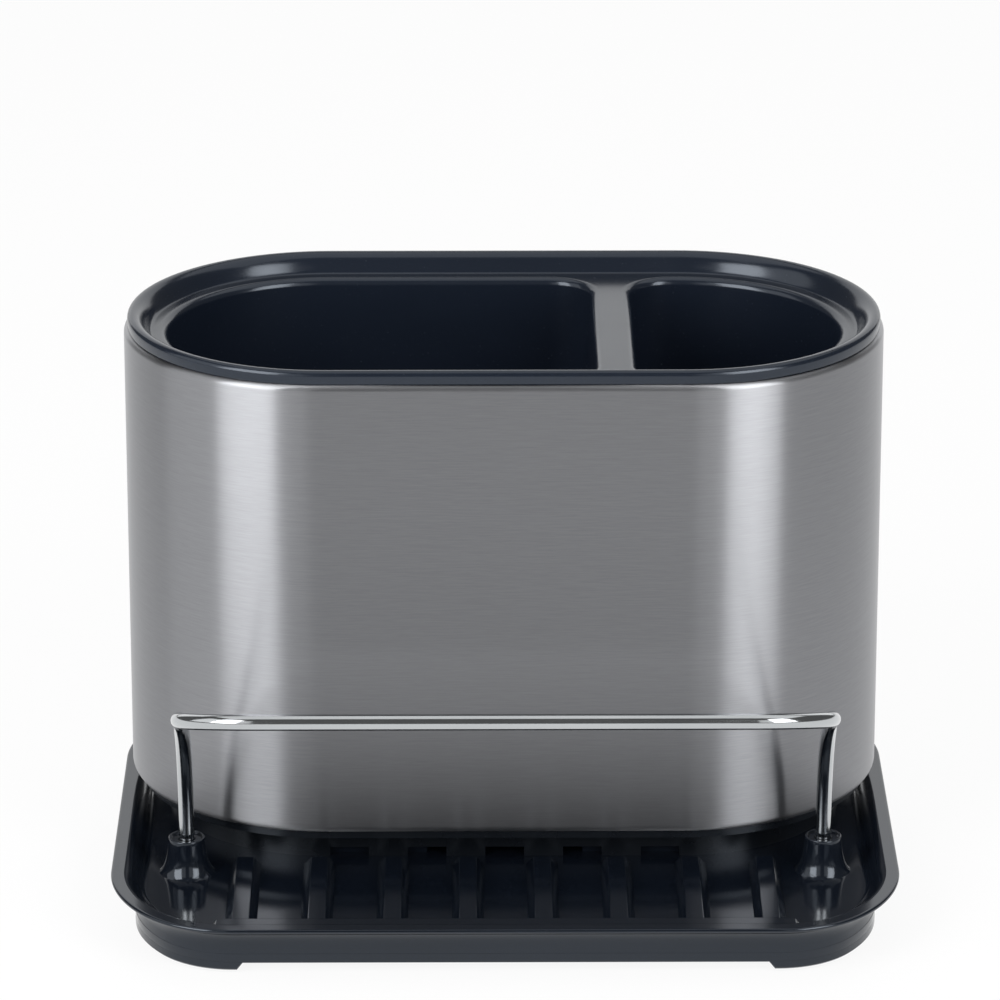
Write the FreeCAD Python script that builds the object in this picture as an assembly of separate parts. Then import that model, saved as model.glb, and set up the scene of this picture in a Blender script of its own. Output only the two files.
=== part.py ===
import FreeCAD, Part
import math
import os

# Sink-side caddy: a drip tray with a wire rail at the front, and a steel-clad box that stands on the tray
# and holds a lift-out insert with two wells. Millimetres, +Z up, front towards -Y.
# The origin is on the ground, under the middle of the tray.

# Anti-slip pads under the tray
pad_diameter = 10.0
pad_height = 3.0
pad_recess_depth = 1.8
pad_recess_clearance = 0.1
pad_boss_wall = 1.5
pad_edge_distance = 27.0

# Drip tray: plan, wall with its lip and cove, floor, foot band and corner feet
tray_length = 200.4
tray_width = 153.8
tray_side_radius = 45.0
tray_side_turn = 37.0
tray_corner_radius = 29.0
tray_wall = 1.8
tray_lip_thickness = 1.2
tray_cove_radius = 5.8
tray_cove_flare = 20.7
tray_floor_rise = 4.75
tray_floor_thickness = 2.2
tray_floor_fillet = 2.5
tray_floor_edge = 12.0
foot_clearance = 1.0
foot_height = 1.9
foot_run = 0.7
foot_slant = 1.5
foot_band_height = 2.55

# Drainage ribs on the tray floor, behind the rail, and the ledge at the front that they run into
rib_count = 8
rib_spread = 132.9
rib_height = 2.4
rib_top_width = 4.25
rib_slope = 1.9
rib_back_gap = 4.0
ledge_depth = 11.8
ledge_overhang = 4.0

# Ridge on the tray floor that the box's plinth drops over
ridge_height = 3.0
ridge_width = 2.0
ridge_clearance = 0.4
ridge_drain_width = 40.0

# Sockets for the rail, moulded on the tray floor
socket_spacing = 162.6
socket_setback = 0.3
socket_base_diameter = 11.1
socket_top_diameter = 9.3
socket_height = 9.55
socket_foot_round = 1.55
socket_cup_depth = 0.6
socket_cup_wall = 0.7
socket_bore_depth = 11.2
socket_bore_clearance = 0.05
socket_boss_wall = 1.8

# Wire rail
wire_diameter = 4.0
leg_stub = 2.85
leg_bend_radius = 43.0
leg_lean = 70.0
leg_end = 0.5
rail_corner_radius = 20.0

# Steel band round the box
band_length = 195.0
band_depth = 104.0
band_height = 120.5
band_sheet = 0.6
band_back_margin = 2.4
band_top_roll = 1.6
band_top_flange = 2.8
band_bottom_roll = 2.0
band_bottom_flange = 3.6

# Base plate that closes the band from below and stands on the tray
plinth_height = 10.2
plinth_inset = 9.6
plinth_wall = 2.2
plinth_notch_count = 5
plinth_notch_pitch = 20.0
plinth_notch_width = 10.0
plinth_notch_height = 2.5
plate_thickness = 2.2
shoulder_inset = 2.4
upstand_height = 11.0
upstand_wall = 1.8
fit_clearance = 0.3
catch_count = 3
catch_pitch = 32.0
catch_length = 12.0
catch_reach = 1.1
catch_height = 3.0
plate_slot_count = 7
plate_slot_pitch = 22.0
plate_slot_length = 44.0
plate_slot_width = 4.0

# Lift-out insert with two wells
rim_inset = 0.9
rim_height = 3.5
rim_round = 1.4
rim_land = 0.2
dish_drop = 4.9
dish_width = 4.5
dish_radius = 10.0
deck_thickness = 2.0
well_inset = 11.3
well_wall = 2.0
well_depth = 111.0
well_floor_thickness = 2.2
well_draft = 2.0
well_edge_round = 2.0
well_corner_radius = 11.0
divider_offset = 28.1
divider_width = 10.4
well_drain_diameter = 6.0
well_drain_pitch = 16.0
well_drain_margin = 8.0

# Heights worked out from the sizes above
foot_bottom = foot_clearance
skirt_bottom = foot_bottom + foot_height
cove_level = skirt_bottom + foot_band_height
floor_top = cove_level + tray_floor_rise
floor_bottom = floor_top - tray_floor_thickness
rib_top = floor_top + rib_height
socket_top = floor_top + socket_height
bore_bottom = socket_top - socket_bore_depth
band_bottom = floor_top + plinth_height
band_top = band_bottom + band_height
rim_top = band_top + rim_height
deck_top = rim_top - dish_drop
well_floor_top = deck_top - well_depth

# Places in plan worked out from the sizes above
band_radius = band_depth / 2
band_y = tray_width / 2 - band_back_margin - band_radius
band_front = band_y - band_radius
socket_x = socket_spacing / 2
socket_y = band_front + socket_setback
wire_radius = wire_diameter / 2
bore_radius = wire_radius + socket_bore_clearance
plinth_front = band_front + plinth_inset
dish_end = rim_inset + rim_round + rim_land + dish_width

UP = FreeCAD.Vector(0, 0, 1)
nothing = 0.001


def vector(x, y, z):
    return FreeCAD.Vector(x, y, z)


def fused(pieces):
    """One solid of pieces that touch or overlap, without the seams between them."""
    return pieces[0].multiFuse(pieces[1:]).removeSplitter()


def polar(centre, radius, degrees):
    """A point (x, z) on a circle drawn in the XZ plane."""
    angle = math.radians(degrees)
    return centre[0] + radius * math.cos(angle), centre[1] + radius * math.sin(angle)


def profile_face(start, *steps):
    """A closed face in the XZ plane. A step is the next corner, or a pair: a point on an arc and its end."""
    edges = []
    here = vector(start[0], 0, start[1])
    for step in steps + (start,):
        if isinstance(step[0], tuple):
            middle = vector(step[0][0], 0, step[0][1])
            end = vector(step[1][0], 0, step[1][1])
            edges.append(Part.Arc(here, middle, end).toShape())
        else:
            end = vector(step[0], 0, step[1])
            if here.distanceToPoint(end) > nothing:
                edges.append(Part.makeLine(here, end))
        here = end
    return Part.Face(Part.Wire(edges))


def outline(length, width, radius, z, y=0.0):
    """A rounded rectangle, or a stadium where the radius is half the width, centred on X = 0."""
    across = length / 2 - radius
    along = width / 2 - radius
    centres = [(across, along), (-across, along), (-across, -along), (across, -along)]
    edges = []
    for turn, (cx, cy) in enumerate(centres):
        edges.append(Part.makeCircle(radius, vector(cx, y + cy, z), UP, 90 * turn, 90 * turn + 90))
    wire = []
    for turn, arc in enumerate(edges):
        wire.append(arc)
        leave = arc.Vertexes[1].Point
        meet = edges[(turn + 1) % 4].Vertexes[0].Point
        if leave.distanceToPoint(meet) > nothing:
            wire.append(Part.makeLine(leave, meet))
    return Part.Wire(wire)


def slab(length, width, radius, low, high, y=0.0):
    """A flat plate with a rounded outline between two heights."""
    return Part.Face(outline(length, width, radius, low, y)).extrude(vector(0, 0, high - low))


def band_slab(inset, low, high):
    """A flat plate whose outline lies inside the band's own by the inset."""
    return slab(band_length - 2 * inset, band_depth - 2 * inset, band_radius - inset, low, high, band_y)


def band_wall(inset, wall, low, high):
    """An upright wall that follows the band's outline inside it."""
    return band_slab(inset, low, high).cut(band_slab(inset + wall, low, high))


def four_corners(shape):
    """The shape and its mirror images in the planes X = 0 and Y = 0."""
    left = shape.mirror(vector(0, 0, 0), vector(1, 0, 0))
    pair = [shape, left]
    return pair + [piece.mirror(vector(0, 0, 0), vector(0, 1, 0)) for piece in pair]


def bent(face, x, y, radius, start, end):
    """A profile swept along an arc about (x, y). The profile's x is the distance out from the arc."""
    bend = face.translated(vector(radius, 0, 0)).revolve(vector(0, 0, 0), UP, end - start)
    bend.rotate(vector(0, 0, 0), UP, start)
    return bend.translated(vector(x, y, 0))


def swept_ring(face, corner):
    """Sweeps a profile round an outline about the origin, given by the arcs of its back right corner."""
    pieces = []
    for bend in corner:
        pieces += four_corners(bent(face, *bend))
    side_x, side_y, side_radius = corner[0][:3]
    back_x, back_y, back_radius = corner[-1][:3]
    runs = [(side_x + side_radius, side_y), (back_y + back_radius, back_x)]
    for turn, (reach, run) in enumerate(runs * 2):
        if run > nothing:
            side = face.translated(vector(reach, -run, 0)).extrude(vector(0, 2 * run, 0))
            side.rotate(vector(0, 0, 0), UP, 90 * turn)
            pieces.append(side)
    return fused(pieces)


def band_ring(face):
    corner = [(band_length / 2 - band_radius, 0.0, band_radius, 0.0, 90.0)]
    return swept_ring(face, corner).translated(vector(0, band_y, 0))


def centred_row(count, pitch):
    return [(index - (count - 1) / 2) * pitch for index in range(count)]


def cylinder(radius, low, high, x, y):
    return Part.makeCylinder(radius, high - low, vector(x, y, low))


def box(x, y, low, high, length, width):
    """A box centred on (x, y) between two heights."""
    return Part.makeBox(length, width, high - low, vector(x - length / 2, y - width / 2, low))


def round_slot(x, y, low, high, length, width):
    """A slot along Y with round ends."""
    return slab(width, length, width / 2, low, high, y).translated(vector(x, 0, 0))


# Drip tray

cove_flare = math.radians(tray_cove_flare)
cove_centre = (-tray_lip_thickness / 2, cove_level + tray_cove_radius * math.sin(cove_flare))
inner_cove = tray_cove_radius + tray_wall
foot_face = cove_centre[0] - tray_cove_radius * math.cos(cove_flare)
foot_back = cove_centre[0] - inner_cove
pad_x = tray_length / 2 - pad_edge_distance
pad_y = tray_width / 2 - pad_edge_distance


def tray_corner():
    """The arcs of the back right corner: a wide one that leaves the side, and a tighter one to the back."""
    turn = math.radians(tray_side_turn)
    apart = tray_side_radius - tray_corner_radius
    side_x = tray_length / 2 - tray_side_radius
    back_y = tray_width / 2 - tray_corner_radius
    return [
        (side_x, back_y - apart * math.sin(turn), tray_side_radius, 0.0, tray_side_turn),
        (side_x + apart * math.cos(turn), back_y, tray_corner_radius, tray_side_turn, 90.0),
    ]


def tray_outline(inset, z):
    """The tray's outline, drawn in from its edge."""
    edges = []
    for x, y, radius, start, end in tray_corner():
        edges += four_corners(Part.makeCircle(radius - inset, vector(x, y, z), UP, start, end))
    side_y = tray_corner()[0][1]
    back_x = tray_corner()[1][0]
    for side in (-1, 1):
        x = side * (tray_length / 2 - inset)
        y = side * (tray_width / 2 - inset)
        edges.append(Part.makeLine(vector(x, -side_y, z), vector(x, side_y, z)))
        edges.append(Part.makeLine(vector(-back_x, y, z), vector(back_x, y, z)))
    return Part.Wire(Part.__sortEdges__(edges))


def tray_shell():
    """The wall with its flat lip, the cove outside it and the foot band, and the floor inside it."""
    lip_under = cove_centre[1] + tray_cove_radius
    lip_top = lip_under + tray_lip_thickness
    lip_angle = 180 - math.degrees(math.asin((lip_top - cove_centre[1]) / inner_cove))
    lip_inside = polar(cove_centre, inner_cove, lip_angle)
    cove_middle = polar(cove_centre, tray_cove_radius, (90 + 180 + tray_cove_flare) / 2)
    fillet_reach = inner_cove + tray_floor_fillet
    fillet_rise = floor_top + tray_floor_fillet - cove_centre[1]
    fillet_angle = 180 - math.degrees(math.asin(fillet_rise / fillet_reach))
    fillet_centre = polar(cove_centre, fillet_reach, fillet_angle)
    fillet_end = polar(cove_centre, inner_cove, fillet_angle)
    fillet_middle = polar(fillet_centre, tray_floor_fillet, (fillet_angle + 180 + 270) / 2)
    wall = profile_face(
        lip_inside,
        (cove_centre[0], lip_top),
        ((0.0, (lip_top + lip_under) / 2), (cove_centre[0], lip_under)),
        (cove_middle, (foot_face, cove_level)),
        (foot_face, skirt_bottom),
        (foot_back, skirt_bottom),
        (foot_back, floor_bottom),
        (-tray_floor_edge, floor_bottom),
        (-tray_floor_edge, floor_top),
        (fillet_centre[0], floor_top),
        (fillet_middle, fillet_end),
        (polar(cove_centre, inner_cove, (fillet_angle + lip_angle) / 2), lip_inside),
    )
    floor = Part.Face(tray_outline(tray_floor_edge, floor_bottom))
    floor = floor.extrude(vector(0, 0, tray_floor_thickness))
    return fused([swept_ring(wall, tray_corner()), floor])


def corner_foot():
    """The foot under the back right corner, with a run along the back and slanted ends."""
    section = profile_face(
        (foot_back, foot_bottom),
        (foot_face, foot_bottom),
        (foot_face, skirt_bottom),
        (foot_back, skirt_bottom),
    )
    side_x = tray_length / 2 + foot_back
    side_y = tray_corner()[0][1]
    side_end = Part.Face(Part.makePolygon([
        vector(side_x, side_y, skirt_bottom),
        vector(side_x, side_y - foot_slant, skirt_bottom),
        vector(side_x, side_y, foot_bottom),
        vector(side_x, side_y, skirt_bottom),
    ])).extrude(vector(foot_face - foot_back, 0, 0))
    back_x = tray_corner()[1][0]
    back_y = tray_width / 2 + foot_back
    back_end = Part.Face(Part.makePolygon([
        vector(back_x, back_y, skirt_bottom),
        vector(back_x - foot_run - foot_slant, back_y, skirt_bottom),
        vector(back_x - foot_run, back_y, foot_bottom),
        vector(back_x, back_y, foot_bottom),
        vector(back_x, back_y, skirt_bottom),
    ])).extrude(vector(0, foot_face - foot_back, 0))
    return fused([bent(section, *bend) for bend in tray_corner()] + [side_end, back_end])


def pad_boss():
    """The boss under the floor that a pad is pressed into."""
    radius = pad_diameter / 2 + pad_recess_clearance
    boss = cylinder(radius + pad_boss_wall, pad_height - pad_recess_depth, floor_bottom, pad_x, pad_y)
    return boss.cut(cylinder(radius, pad_height - pad_recess_depth, pad_height, pad_x, pad_y))


def raised_strip(x, top_width, back):
    """A flat-topped strip with sloped sides and a sloped back end, from the tray's front edge."""
    front = -tray_width / 2
    levels = []
    for slope, z in [(rib_slope, floor_top), (0.0, rib_top)]:
        half = top_width / 2 + slope
        far = back + slope
        corners = [(x - half, front), (x + half, front), (x + half, far), (x - half, far), (x - half, front)]
        levels.append(Part.makePolygon([vector(px, py, z) for px, py in corners]))
    return Part.makeLoft(levels, True, True)


def drainage_ribs():
    """The ribs and the ledge, which end inside the tray's wall."""
    ledge_length = rib_spread + rib_top_width + 2 * ledge_overhang
    rib_back = plinth_front - rib_back_gap - rib_slope
    rib_pitch = rib_spread / (rib_count - 1)
    strips = [raised_strip(0.0, ledge_length, ledge_depth - tray_width / 2)]
    strips += [raised_strip(x, rib_top_width, rib_back) for x in centred_row(rib_count, rib_pitch)]
    wall_radius = (tray_cove_radius + inner_cove) / 2
    inside = []
    for z in (floor_top, rib_top):
        wall_inset = math.sqrt(wall_radius ** 2 - (z - cove_centre[1]) ** 2) - cove_centre[0]
        inside.append(tray_outline(wall_inset, z))
    return fused(strips).common(Part.makeLoft(inside, True, True))


def locating_ridge():
    """A low ridge inside the box's plinth, open at the front so that water runs to the ribs."""
    outer = plinth_inset + plinth_wall + ridge_clearance
    ring = band_wall(outer, ridge_width, floor_top, floor_top + ridge_height)
    front = band_front + outer + ridge_width / 2
    return ring.cut(box(0, front, floor_top, floor_top + ridge_height, ridge_drain_width, 2 * ridge_width))


def rail_socket(x):
    """A conical socket with a flared foot, a thin rim round its cup and a blind boss under the floor."""
    base = socket_base_diameter / 2
    top = socket_top_diameter / 2
    slope_x = base - (base - top) * socket_foot_round / socket_height
    flare_middle = polar((base + socket_foot_round, floor_top + socket_foot_round), socket_foot_round, 225)
    cone = profile_face(
        (0.0, floor_bottom),
        (base + socket_foot_round, floor_bottom),
        (base + socket_foot_round, floor_top),
        (flare_middle, (slope_x, floor_top + socket_foot_round)),
        (top, socket_top),
        (0.0, socket_top),
    ).revolve(vector(0, 0, 0), UP, 360).translated(vector(x, socket_y, 0))
    boss_radius = bore_radius + socket_boss_wall
    boss = cylinder(boss_radius, bore_bottom - socket_boss_wall, floor_bottom, x, socket_y)
    return [cone, boss]


def socket_hollow(x):
    """The cup and the bore that a leg of the rail drops into."""
    cup_radius = socket_top_diameter / 2 - socket_cup_wall
    cup = cylinder(cup_radius, socket_top - socket_cup_depth, socket_top, x, socket_y)
    return cup.fuse(cylinder(bore_radius, bore_bottom, socket_top, x, socket_y))


def drip_tray():
    pieces = [tray_shell(), drainage_ribs(), locating_ridge()]
    pieces += four_corners(corner_foot())
    pieces += four_corners(pad_boss())
    hollows = []
    for x in (-socket_x, socket_x):
        pieces += rail_socket(x)
        hollows.append(socket_hollow(x))
    return fused(pieces).cut(Part.makeCompound(hollows))


def anti_slip_pads():
    """One pad for each corner, by name."""
    pad = cylinder(pad_diameter / 2, 0.0, pad_height, pad_x, pad_y)
    corners = ["back_right", "back_left", "front_right", "front_left"]
    return {"anti_slip_pad_" + corner: piece for corner, piece in zip(corners, four_corners(pad))}


# Wire rail


def rounded_path(points, radii):
    """A wire through points, with an arc of its own radius at each corner between the ends."""
    edges = []
    here = points[0]
    for before, corner, after, radius in zip(points, points[1:], points[2:], radii):
        back = (before - corner).normalize()
        ahead = (after - corner).normalize()
        half = back.getAngle(ahead) / 2
        run = radius / math.tan(half)
        middle = corner + (back + ahead).normalize() * (radius / math.sin(half) - radius)
        edges.append(Part.makeLine(here, corner + back * run))
        here = corner + ahead * run
        edges.append(Part.Arc(corner + back * run, middle, here).toShape())
    edges.append(Part.makeLine(here, points[-1]))
    return Part.Wire(edges)


def front_rail():
    """One wire: two legs that bend forward from the sockets in wide arcs, and the bar between their ends."""
    lean = math.radians(leg_lean)
    bend_run = leg_bend_radius * math.tan(lean / 2)
    reach = bend_run + leg_end + rail_corner_radius
    bend_z = socket_top + leg_stub + bend_run
    bar_y = socket_y - reach * math.sin(lean)
    bar_z = bend_z + reach * math.cos(lean)
    side = [(socket_y, bore_bottom), (socket_y, bend_z), (bar_y, bar_z)]
    left = [vector(-socket_x, y, z) for y, z in side]
    right = [vector(socket_x, y, z) for y, z in reversed(side)]
    radii = [leg_bend_radius, rail_corner_radius, rail_corner_radius, leg_bend_radius]
    section = Part.Wire(Part.makeCircle(wire_radius, left[0], UP))
    return rounded_path(left + right, radii).makePipeShell([section], True, False)


# Steel band


def steel_band():
    """A sheet band with both edges rolled inwards."""
    top_centre = (-band_top_roll, band_top - band_top_roll)
    low_centre = (-band_bottom_roll, band_bottom + band_bottom_roll)
    top_inside = band_top_roll - band_sheet
    low_inside = band_bottom_roll - band_sheet
    return band_ring(profile_face(
        (0.0, low_centre[1]),
        (0.0, top_centre[1]),
        (polar(top_centre, band_top_roll, 45), (top_centre[0], band_top)),
        (-band_top_flange, band_top),
        (-band_top_flange, band_top - band_sheet),
        (top_centre[0], band_top - band_sheet),
        (polar(top_centre, top_inside, 45), (-band_sheet, top_centre[1])),
        (-band_sheet, low_centre[1]),
        (polar(low_centre, low_inside, -45), (low_centre[0], band_bottom + band_sheet)),
        (-band_bottom_flange, band_bottom + band_sheet),
        (-band_bottom_flange, band_bottom),
        (low_centre[0], band_bottom),
        (polar(low_centre, band_bottom_roll, -45), (0.0, low_centre[1])),
    ))


# Base plate


def base_plate():
    """A plate with a plinth below, a shoulder under the band and an upstand with catches inside it."""
    upstand_inset = band_bottom_flange + fit_clearance
    plate = band_slab(shoulder_inset, band_bottom - plate_thickness, band_bottom)
    pieces = [
        plate,
        band_wall(upstand_inset, upstand_wall, band_bottom, band_bottom + upstand_height),
        band_wall(plinth_inset, plinth_wall, floor_top, band_bottom - plate_thickness),
    ]
    catch_low = band_bottom + band_sheet
    upstand_face = band_radius - upstand_inset
    hook = Part.Face(Part.makePolygon([
        vector(0, upstand_face - upstand_wall / 2, catch_low),
        vector(0, upstand_face + catch_reach, catch_low),
        vector(0, upstand_face, catch_low + catch_height),
        vector(0, upstand_face - upstand_wall / 2, catch_low + catch_height),
        vector(0, upstand_face - upstand_wall / 2, catch_low),
    ])).extrude(vector(catch_length, 0, 0)).translated(vector(-catch_length / 2, 0, 0))
    for x in centred_row(catch_count, catch_pitch):
        for turn in (0, 180):
            catch = hook.translated(vector(x, 0, 0))
            catch.rotate(vector(0, 0, 0), UP, turn)
            pieces.append(catch.translated(vector(0, band_y, 0)))
    cuts = []
    plate_low = band_bottom - plate_thickness
    for x in centred_row(plate_slot_count, plate_slot_pitch):
        cuts.append(round_slot(x, band_y, plate_low, band_bottom, plate_slot_length, plate_slot_width))
    notch_top = floor_top + plinth_notch_height
    for x in centred_row(plinth_notch_count, plinth_notch_pitch):
        cuts.append(box(x, band_y, floor_top, notch_top, plinth_notch_width, band_depth))
    return fused(pieces).cut(Part.makeCompound(cuts))


# Lift-out insert


def well_solid(divider_x, grow, low, high, low_inset, high_inset):
    """A drafted well with its round end towards -X. Grow offsets its whole outline outwards."""
    end_x = band_radius - band_length / 2
    wires = []
    for inset, z in [(low_inset, low), (high_inset, high)]:
        radius = band_radius - well_inset - inset + grow
        corner = well_corner_radius - inset + grow
        side_x = divider_x - inset + grow
        corner_x = side_x - corner
        beyond = min(corner_x - end_x, 0.0)
        corner_y = math.sqrt((radius - corner) ** 2 - beyond ** 2)
        tilt = math.degrees(math.atan2(corner_y, beyond)) if beyond < 0 else 90.0
        edges = [
            Part.makeCircle(radius, vector(end_x, 0, z), UP, tilt, 180),
            Part.makeCircle(radius, vector(end_x, 0, z), UP, 180, 360 - tilt),
        ]
        low_corner = Part.makeCircle(corner, vector(corner_x, -corner_y, z), UP, -tilt, 0)
        high_corner = Part.makeCircle(corner, vector(corner_x, corner_y, z), UP, 0, tilt)
        if beyond == 0.0:
            edges.append(Part.makeLine(vector(end_x, -radius, z), vector(corner_x, -radius, z)))
        edges.append(low_corner)
        edges.append(Part.makeLine(vector(side_x, -corner_y, z), vector(side_x, corner_y, z)))
        edges.append(high_corner)
        if beyond == 0.0:
            edges.append(Part.makeLine(vector(corner_x, radius, z), vector(end_x, radius, z)))
        wires.append(Part.Wire(edges))
    return Part.makeLoft(wires, True, True).translated(vector(0, band_y, 0))


def both_wells(grow, low, high, low_inset, high_inset):
    """The large well on the left of the divider and the small one on its right."""
    large = well_solid(divider_offset - divider_width / 2, grow, low, high, low_inset, high_inset)
    small = well_solid(-divider_offset - divider_width / 2, grow, low, high, low_inset, high_inset)
    return [large, small.mirror(vector(0, 0, 0), vector(1, 0, 0))]


def rim_profile():
    """The rim that rests on the band, and the dished slope down to the deck."""
    seat = band_top_flange + fit_clearance
    crest_outer = rim_inset + rim_round
    crest_inner = crest_outer + rim_land
    chord = math.hypot(dish_width, dish_drop)
    sag = dish_radius - math.sqrt(dish_radius ** 2 - chord ** 2 / 4)
    dish_middle = (
        sag * dish_drop / chord - (crest_inner + dish_end) / 2,
        (rim_top + deck_top) / 2 - sag * dish_width / chord,
    )
    return profile_face(
        (-rim_inset, band_top),
        (-rim_inset, rim_top - rim_round),
        (polar((-crest_outer, rim_top - rim_round), rim_round, 45), (-crest_outer, rim_top)),
        (-crest_inner, rim_top),
        (dish_middle, (-dish_end, deck_top)),
        (-dish_end, deck_top - deck_thickness),
        (-seat, deck_top - deck_thickness),
        (-seat, band_top),
    )


def drain_holes():
    """Rows of round holes through the floors of both wells."""
    clear = band_radius - well_inset - well_draft - well_drain_margin
    large_end = divider_offset - divider_width / 2 - well_draft - well_drain_margin
    small_end = divider_offset + divider_width / 2 + well_draft + well_drain_margin
    far_end = band_length / 2 - well_inset - well_draft - well_drain_margin
    low = well_floor_top - well_floor_thickness
    holes = []
    for start, end in [(-far_end, large_end), (small_end, far_end)]:
        count = int((end - start) // well_drain_pitch) + 1
        for dx in centred_row(count, well_drain_pitch):
            x = (start + end) / 2 + dx
            reach = clear
            past = abs(x) - (band_length / 2 - band_radius)
            if past > 0:
                reach = math.sqrt(max(clear ** 2 - past ** 2, 0.0))
            rows = 2 * int(reach // well_drain_pitch) + 1
            for dy in centred_row(rows, well_drain_pitch):
                holes.append(cylinder(well_drain_diameter / 2, low, well_floor_top, x, band_y + dy))
    return holes


def well_insert():
    rim = band_ring(rim_profile())
    deck = band_slab(dish_end, deck_top - deck_thickness, deck_top)
    low = well_floor_top - well_floor_thickness
    shells = both_wells(well_wall, low, deck_top - deck_thickness, well_draft, 0.0)
    hollows = both_wells(0.0, well_floor_top, deck_top, well_draft, 0.0)
    body = fused([rim, deck] + shells).cut(Part.makeCompound(hollows))
    mouths = []
    for edge in body.Edges:
        ends = [vertex.Point for vertex in edge.Vertexes]
        at_deck = all(abs(end.z - deck_top) < nothing for end in ends)
        in_wells = all(abs(end.y - band_y) < band_radius - well_inset + nothing for end in ends)
        if at_deck and in_wells and abs(edge.CenterOfMass.z - deck_top) < nothing:
            mouths.append(edge)
    body = body.makeFillet(well_edge_round, mouths)
    return body.cut(Part.makeCompound(drain_holes()))


nodes = {
    "drip_tray": drip_tray(),
    "front_rail": front_rail(),
    "steel_band": steel_band(),
    "base_plate": base_plate(),
    "well_insert": well_insert(),
}
nodes.update(anti_slip_pads())

os.makedirs("parts", exist_ok=True)
for name, shape in nodes.items():
    print(name, len(shape.Solids), "solid", shape.isValid(), round(shape.Volume), "mm3")
    shape.exportStep("parts/" + name + ".step")
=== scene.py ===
import math

import bmesh
import bpy
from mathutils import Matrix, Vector


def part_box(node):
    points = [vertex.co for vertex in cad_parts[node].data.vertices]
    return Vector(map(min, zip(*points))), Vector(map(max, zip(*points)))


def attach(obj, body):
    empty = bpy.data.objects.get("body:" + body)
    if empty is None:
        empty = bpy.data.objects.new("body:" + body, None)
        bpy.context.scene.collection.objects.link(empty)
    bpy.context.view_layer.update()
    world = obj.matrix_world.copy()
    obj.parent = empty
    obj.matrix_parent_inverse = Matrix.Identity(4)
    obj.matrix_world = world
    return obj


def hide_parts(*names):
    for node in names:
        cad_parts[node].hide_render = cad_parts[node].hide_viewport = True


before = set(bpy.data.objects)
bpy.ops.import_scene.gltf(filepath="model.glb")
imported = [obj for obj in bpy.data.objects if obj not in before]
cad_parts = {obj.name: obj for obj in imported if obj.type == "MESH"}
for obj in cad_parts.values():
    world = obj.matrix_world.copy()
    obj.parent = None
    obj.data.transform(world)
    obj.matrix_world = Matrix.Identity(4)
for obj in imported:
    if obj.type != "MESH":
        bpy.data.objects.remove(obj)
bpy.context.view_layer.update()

# Sink-side caddy: a dark moulded drip tray with a polished wire rail, and a brushed steel box with a
# lift-out insert. Metres, +Z up, front towards -Y. Angles are written in degrees.

scene = bpy.context.scene
MM = 0.001

# Outer sizes and places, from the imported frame
tray_low, tray_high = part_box("drip_tray")
band_low, band_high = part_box("steel_band")
insert_low, insert_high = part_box("well_insert")
rail_low, rail_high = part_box("front_rail")
pad_low, pad_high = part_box("anti_slip_pad_back_right")
tray_length = tray_high.x - tray_low.x
tray_width = tray_high.y - tray_low.y
band_length = band_high.x - band_low.x
band_radius = (band_high.y - band_low.y) / 2
band_y = (band_low.y + band_high.y) / 2
band_end_x = band_length / 2 - band_radius
band_top = band_high.z
band_bottom = band_low.z
rim_top = insert_high.z
socket_top = tray_high.z
foot_bottom = tray_low.z
bore_bottom = rail_low.z

# Wire rail. The swells scale the wire's radius at its rounded ends.
wire_radius = 2.0 * MM
leg_stub = 2.85 * MM
leg_bend = 43.0 * MM
leg_lean = math.radians(70.0)
rail_corner = 20.0 * MM
wire_end_round = 0.7 * MM
wire_tip_swell = 0.72
wire_shoulder_swell = 0.93
wire_shoulder_rise = 0.4

# Drip tray
tray_side = 45.0 * MM
tray_side_turn = 37.0
tray_corner = 29.0 * MM
tray_wall = 1.8 * MM
lip_thickness = 1.2 * MM
lip_ease = 0.4 * MM
cove_radius = 5.8 * MM
cove_flare = 20.7
floor_rise = 4.75 * MM
floor_thickness = 2.2 * MM
floor_fillet = 2.5 * MM
foot_height = 1.9 * MM
foot_run = 0.7 * MM
foot_slant = 1.5 * MM
foot_band_height = 2.55 * MM
foot_band_ease = 0.06 * MM
skirt_round = 0.4 * MM
skirt_bottom = foot_bottom + foot_height
cove_level = skirt_bottom + foot_band_height
floor_top = cove_level + floor_rise
floor_bottom = floor_top - floor_thickness
lip_round = lip_thickness / 2
cove_centre = (-lip_round, cove_level + cove_radius * math.sin(math.radians(cove_flare)))
inner_cove = cove_radius + tray_wall
foot_face = cove_centre[0] - cove_radius * math.cos(math.radians(cove_flare))
foot_back = cove_centre[0] - inner_cove
lip_under = cove_centre[1] + cove_radius
lip_top = lip_under + lip_thickness

# Ribs, ridge and sockets on the tray floor. A rib edge's bends are shares of it, inwards and below the top.
rib_count = 8
rib_spread = 132.9 * MM
rib_height = 2.4 * MM
rib_top_width = 4.25 * MM
rib_slope = 1.9 * MM
rib_back_gap = 4.0 * MM
rib_edge = 0.35 * MM
rib_edge_bends = [(0.0, 1.0), (0.5, 0.35), (1.1, 0.0)]
rib_corner_share = 0.3
rib_corner_least = 0.1 * MM
rib_tuck = 2.5 * MM
rib_below_ledge = 0.02 * MM
ledge_depth = 11.8 * MM
ledge_overhang = 4.0 * MM
ledge_front = 5.5 * MM
ledge_corner = 3.0 * MM
plinth_inset = 9.6 * MM
plinth_wall = 2.2 * MM
ridge_clearance = 0.4 * MM
ridge_width = 2.0 * MM
ridge_height = 3.0 * MM
ridge_gap = 40.0 * MM
ridge_round = 0.5 * MM
socket_x = (rail_high.x - rail_low.x) / 2 - wire_radius
socket_setback = 0.3 * MM
socket_y = band_low.y + socket_setback
socket_foot = 7.1 * MM
socket_waist = 4.95 * MM
socket_waist_height = 2.0 * MM
socket_rim = 4.65 * MM
socket_cup_depth = 0.6 * MM
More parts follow.
